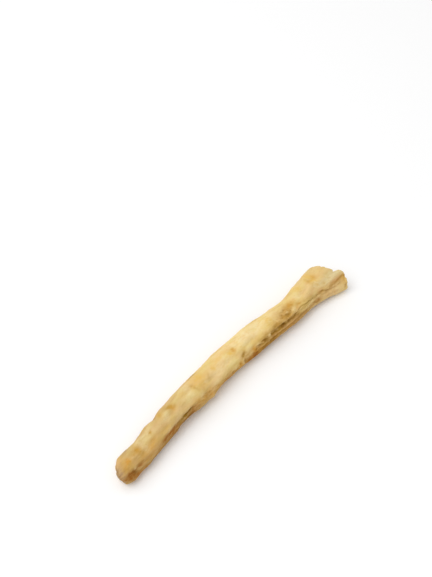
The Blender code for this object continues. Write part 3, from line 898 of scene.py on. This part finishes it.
# Three spaces in millimetres across the root; along it their units are 1, 2 and 11 mm long
where = add_node(tree, "TexCoord", "Object")
spaces = {}
for name, along in (("even", 1000), ("drawn", 500), ("fibrous", 90)):
    spaces[name] = add_node(tree, "Mapping", "Vector", {"Vector": where, "Scale": (along, 1000, 1000)})

# Each noise: its space, waves per millimetre, detail, roughness, distortion and what is read of it
NOISES = {
    "clouds": ("drawn", 0.22, 2.0, 0.5, 0.0, "Fac"),
    "hues": ("drawn", 0.45, 2.0, 0.5, 0.3, "Color"),
    "mottles": ("drawn", 0.75, 4.0, 0.6, 0.4, "Fac"),
    "flecks": ("drawn", 2.1, 2.0, 0.5, 0.0, "Fac"),
    "fibres": ("fibrous", 2.4, 3.0, 0.6, 0.0, "Fac"),
    "powder": ("even", 4.5, 3.0, 0.65, 0.0, "Fac"),
}
# A noise lies mostly between these two values
NOISE_SPAN = {"From Min": 0.3, "From Max": 0.7}

noises = {}
for name, (space, scale, detail, roughness, distortion, output) in NOISES.items():
    noises[name] = add_node(tree, "TexNoise", output, {
        "Vector": spaces[space], "Scale": scale, "Detail": detail, "Roughness": roughness,
        "Distortion": distortion,
    })
noted = {name: add_node(tree, "Attribute", "Fac", attribute_name=name) for name in fields}
print("noises:", list(noises))

# %% Mix the straw
CREAM_SHARE = 0.42
HUE_SHARE = 0.36

straw = add_node(
    tree, "ValToRGB", "Color", {"Fac": noises["mottles"]},
    stops=((0.30, "#DDB262"), (0.70, "#EED695"), (0.50, "#E7C67C")),
)
cream = add_node(
    tree, "ValToRGB", "Color", {"Fac": noises["clouds"]}, stops=((0.35, "#E2B964"), (0.65, "#F1DEA4")),
)
base = add_node(tree, "Mix", 2, {0: CREAM_SHARE, 6: straw, 7: cream}, data_type="RGBA")
hue = add_node(tree, "SeparateColor", "Green", {"Color": noises["hues"]})
blush = add_node(tree, "ValToRGB", "Color", {"Fac": hue}, stops=((0.36, "#E9BD8C"), (0.64, "#E3CE7C")))
base = add_node(tree, "Mix", 2, {0: HUE_SHARE, 6: base, 7: blush}, data_type="RGBA")

# Tints that multiply the straw: the fibres all over, painted shade on the underside, and a grey tint that
# darkens the ends
fibre_tone = add_node(
    tree, "MapRange", "Result", {"Value": noises["fibres"], **NOISE_SPAN, "To Min": 0.97, "To Max": 1.02},
)
tints = (1.0, fibre_tone), (noted["lower_shade"], linear("#CEAE6E")), (noted["ends_darker"], linear("#E2DCDA"))
for amount, tint in tints:
    base = add_node(tree, "Mix", 2, {0: amount, 6: base, 7: tint}, data_type="RGBA", blend_type="MULTIPLY")
print("skin nodes so far:", len(tree.nodes))

# %% Lay the ridges, stains and hollows over the straw
# What is read, its colour, how strongly it shows and how much the powder breaks its edge
LAYERS = (
    # painted highlight on the ridges
    ("ridge_highlight", "#F3E1A8", 0.30, 0.5),
    ("cream", "#F1E0AE", 0.80, 0.4),
    ("honey", "#DDB04C", 0.75, 0.3),
    ("rough", "#BE8E42", 0.85, 0.4),
    ("olive", "#B98E3C", 0.85, 0.2),
    ("amber", "#CB933A", 0.90, 0.2),
    # grey painted shade on the thin end
    ("grey_rim_shade", "#AB8A64", 0.90, 0.2),
    ("rosy", "#E3B67A", 0.80, 0.3),
    # painted shade in the hollows
    ("hollow", "#A6771A", 0.70, 0.5),
    # painted shade in the furrows, splits and torn hollows
    ("furrow_shade", "#987018", 0.90, 0.3),
    # rust, and painted shade along the lower edge
    ("rust_and_edge_shade", "#9A5C14", 0.92, 0.2),
    ("umber", "#7C500E", 0.88, 0.2),
    # pale crests, and painted light on flanks in shade
    ("pale_and_painted_light", "#EBCF92", 0.80, 0.4),
)
for name, colour, strength, broken in LAYERS:
    edge = add_node(tree, "MapRange", "Result", {
        "Value": noises["powder"], **NOISE_SPAN,
        "To Min": strength * (1 - broken / 2), "To Max": strength * (1 + broken / 2),
    })
    amount = {0: noted[name], 1: edge}
    factor = add_node(tree, "Math", "Value", amount, operation="MULTIPLY", use_clamp=True)
    base = add_node(tree, "Mix", 2, {0: factor, 6: base, 7: linear(colour)}, data_type="RGBA")

# Small dark flecks where bits of the outer skin are left: noise above a high threshold
flecked = add_node(tree, "MapRange", "Result", {
    "Value": noises["flecks"], "From Min": 0.68, "From Max": 0.76, "To Min": 0.0, "To Max": 0.25,
})
base = add_node(tree, "Mix", 2, {0: flecked, 6: base, 7: linear("#9A6C33")}, data_type="RGBA")
tree.links.new(base, shader.inputs["Base Color"])
print("layers:", len(LAYERS))

# %% Give the skin its dull surface
# Matte, a little rougher where the powder lies
dull = add_node(
    tree, "MapRange", "Result", {"Value": noises["powder"], **NOISE_SPAN, "To Min": 0.66, "To Max": 0.86},
)
tree.links.new(dull, shader.inputs["Roughness"])
shader.inputs["Specular IOR Level"].default_value = 0.12

# Grain too fine for the mesh: fibres and powder that stand up by about 0.02 mm
bump = add_node(
    tree, "Bump", "Normal", {"Height": noises["fibres"], "Strength": 0.35, "Distance": 0.00005},
)
bump = add_node(tree, "Bump", "Normal", {
    "Height": noises["powder"], "Normal": bump, "Strength": 0.5, "Distance": 0.00004,
})
tree.links.new(bump, shader.inputs["Normal"])
mesh.materials.append(skin_material)
print("skin nodes:", len(tree.nodes))

# %% [markdown]
# ## Cut root flesh
#
# A dried root snaps like chalk. Its cut shows a pale, floury bark ring, a thin brown line where
# the bark meets the wood, and yellow wood with fine rays. The share attribute is the distance from
# the middle, and the rays attribute holds the direction round it, so that the noise changes little
# along a ray and much across it. The thin cut is painted greyish tan as shade, and the flared cut a
# little.

# %% Start the cut material with its noises
cut_material, tree, shader = new_material("cut root flesh")
from_middle = add_node(tree, "Attribute", "Fac", attribute_name="share")
round_it = add_node(tree, "Attribute", "Vector", attribute_name="rays")
ray_space = add_node(tree, "Mapping", "Vector", {"Vector": round_it, "Scale": (7, 7, 1.2)})
ray_noise = add_node(
    tree, "TexNoise", "Fac", {"Vector": ray_space, "Scale": 1.6, "Detail": 3.0, "Roughness": 0.6},
)
# Grains of flour of 0.4 mm, drawn coarser than real ones so that they show
where = add_node(tree, "TexCoord", "Object")
even = add_node(tree, "Mapping", "Vector", {"Vector": where, "Scale": (1000, 1000, 1000)})
flour = add_node(
    tree, "TexNoise", "Fac", {"Vector": even, "Scale": 2.6, "Detail": 4.0, "Roughness": 0.65},
)
print("cut nodes so far:", len(tree.nodes))

# %% Colour the rings and rays of the cut
wavy = add_node(tree, "Math", "Value", {0: ray_noise, 1: 0.10, 2: from_middle}, operation="MULTIPLY_ADD")
rings = add_node(tree, "ValToRGB", "Color", {"Fac": wavy}, stops=(
    (0.00, "#C9A05A"), (1.00, "#C4A068"), (0.14, "#DDB866"), (0.62, "#DCB25C"),
    (0.76, "#C39A55"), (0.79, "#9C6E33"), (0.83, "#E3CB93"), (0.94, "#EAD7A6"),
))
ray_tone = add_node(
    tree, "MapRange", "Result", {"Value": ray_noise, **NOISE_SPAN, "To Min": 0.80, "To Max": 1.10},
)
flesh = add_node(tree, "Mix", 2, {0: 1.0, 6: rings, 7: ray_tone}, data_type="RGBA", blend_type="MULTIPLY")
# Painted shade greys the cut faces, the thin one fully
cut_shade_share = add_node(tree, "Attribute", "Fac", attribute_name="cut_shade")
grey = add_node(tree, "MapRange", "Result", {
    "Value": flour, "From Min": 0.35, "From Max": 0.7, "To Min": 0.75, "To Max": 1.0,
})
grey = add_node(tree, "Math", "Value", {0: grey, 1: cut_shade_share}, operation="MULTIPLY")
flesh = add_node(tree, "Mix", 2, {0: grey, 6: flesh, 7: linear("#A8865E")}, data_type="RGBA")
tree.links.new(flesh, shader.inputs["Base Color"])
shader.inputs["Roughness"].default_value = 0.85
shader.inputs["Specular IOR Level"].default_value = 0.3
bump = add_node(tree, "Bump", "Normal", {"Height": flour, "Strength": 0.6, "Distance": 0.00008})
tree.links.new(bump, shader.inputs["Normal"])
mesh.materials.append(cut_material)
print("cut nodes:", len(tree.nodes))

# %% Give the faces of the cuts their material
loop_points = np.empty(len(mesh.loops), np.int32)
mesh.loops.foreach_get("vertex_index", loop_points)
starts = np.empty(len(mesh.polygons), np.int32)
mesh.polygons.foreach_get("loop_start", starts)
on_cut = np.maximum.reduceat(loop_points, starts) >= numbers.size
mesh.polygons.foreach_set("material_index", on_cut.astype(np.int32))
print("faces on the cuts:", on_cut.sum(), "of", len(mesh.polygons))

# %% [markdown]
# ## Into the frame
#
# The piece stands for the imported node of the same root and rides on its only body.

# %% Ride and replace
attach(root, "root")
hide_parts("glehnia_root")

# %% [markdown]
# ## Floor, light and camera
#
# The floor is a plain white sheet and the sky an even white, with one large soft lamp above the
# far side of the root, which makes the stick's upper edge the lightest. The camera looks down at
# 52 degrees, along a line that lays the root from lower left to upper right.

# %% Floor, with lengths in metres
FLOOR_HALF = 1.5
FLOOR_DROP = 0.00002

floor_mesh = bpy.data.meshes.new("floor")
corners = [(x_side * FLOOR_HALF, y_side * FLOOR_HALF, -FLOOR_DROP)
           for x_side, y_side in ((-1, -1), (1, -1), (1, 1), (-1, 1))]
floor_mesh.from_pydata(corners, [], [(0, 1, 2, 3)])
floor = bpy.data.objects.new("floor", floor_mesh)
scene.collection.objects.link(floor)
# Paper: white and dull, so that it takes a soft shadow and shows no gloss
paper, _, shader = new_material("matte white paper")
shader.inputs["Base Color"].default_value = linear("#FAFAFA")
shader.inputs["Roughness"].default_value = 0.9
floor_mesh.materials.append(paper)
floor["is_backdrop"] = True
print("floor:", 2 * FLOOR_HALF, "m wide")

# %% Light, with lengths in metres
SKY_STRENGTH = 0.66
LAMP_FROM = np.array([-0.35, 0.25, 0.90])
LAMP_DISTANCE = 0.7
LAMP_SIZE = 0.7
LAMP_ENERGY = 3.1

sky = bpy.data.worlds.new("even white sky")
sky.use_nodes = True
background = sky.node_tree.nodes["Background"]
background.inputs["Color"].default_value = linear("#FFFFFF")
background.inputs["Strength"].default_value = SKY_STRENGTH
scene.world = sky
scene.view_settings.view_transform = "Standard"

lamp_data = bpy.data.lights.new("soft lamp", "AREA")
lamp_data.size = LAMP_SIZE
lamp_data.energy = LAMP_ENERGY
lamp = bpy.data.objects.new("soft lamp", lamp_data)
scene.collection.objects.link(lamp)
lamp_way = LAMP_FROM / np.linalg.norm(LAMP_FROM)
lamp.location = lamp_way * LAMP_DISTANCE
lamp.rotation_euler = Vector(lamp_way).to_track_quat("Z", "Y").to_euler()
print("lamp at", [round(c, 2) for c in lamp.location])

# %% Camera, with lengths in millimetres apart from the clipping
LENS = 60.0
SENSOR = 36.0
ELEVATION = 52.0
AZIMUTH = -47.757
DISTANCE = 270.54
LOOK_AT = np.array([17.5, 22.1, 0.0])
NEAREST, FURTHEST = 0.01, 10.0

camera_data = bpy.data.cameras.new("camera")
camera_data.lens = LENS
camera_data.sensor_fit = "VERTICAL"
camera_data.sensor_height = SENSOR
camera_data.clip_start = NEAREST
camera_data.clip_end = FURTHEST
camera = bpy.data.objects.new("camera", camera_data)
scene.collection.objects.link(camera)
azimuth, elevation = np.radians([AZIMUTH, ELEVATION])
level = np.cos(elevation)
back = np.array([np.sin(azimuth) * level, -np.cos(azimuth) * level, np.sin(elevation)])
camera.location = (LOOK_AT + back * DISTANCE) * MM
camera.rotation_euler = Vector(back).to_track_quat("Z", "Y").to_euler()
scene.camera = camera
print("camera at", [round(c / MM) for c in camera.location], "mm")

# %% Write the sizes and finish
low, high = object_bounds()
for axis, name in enumerate("XYZ"):
    side = cad_high[axis] - cad_low[axis]
    over = np.array([cad_low[axis] - low[axis], high[axis] - cad_high[axis]]) * 100 / side
    print(name, "side", round(side / MM, 2), "mm, over by", over.round(2), "% of it")
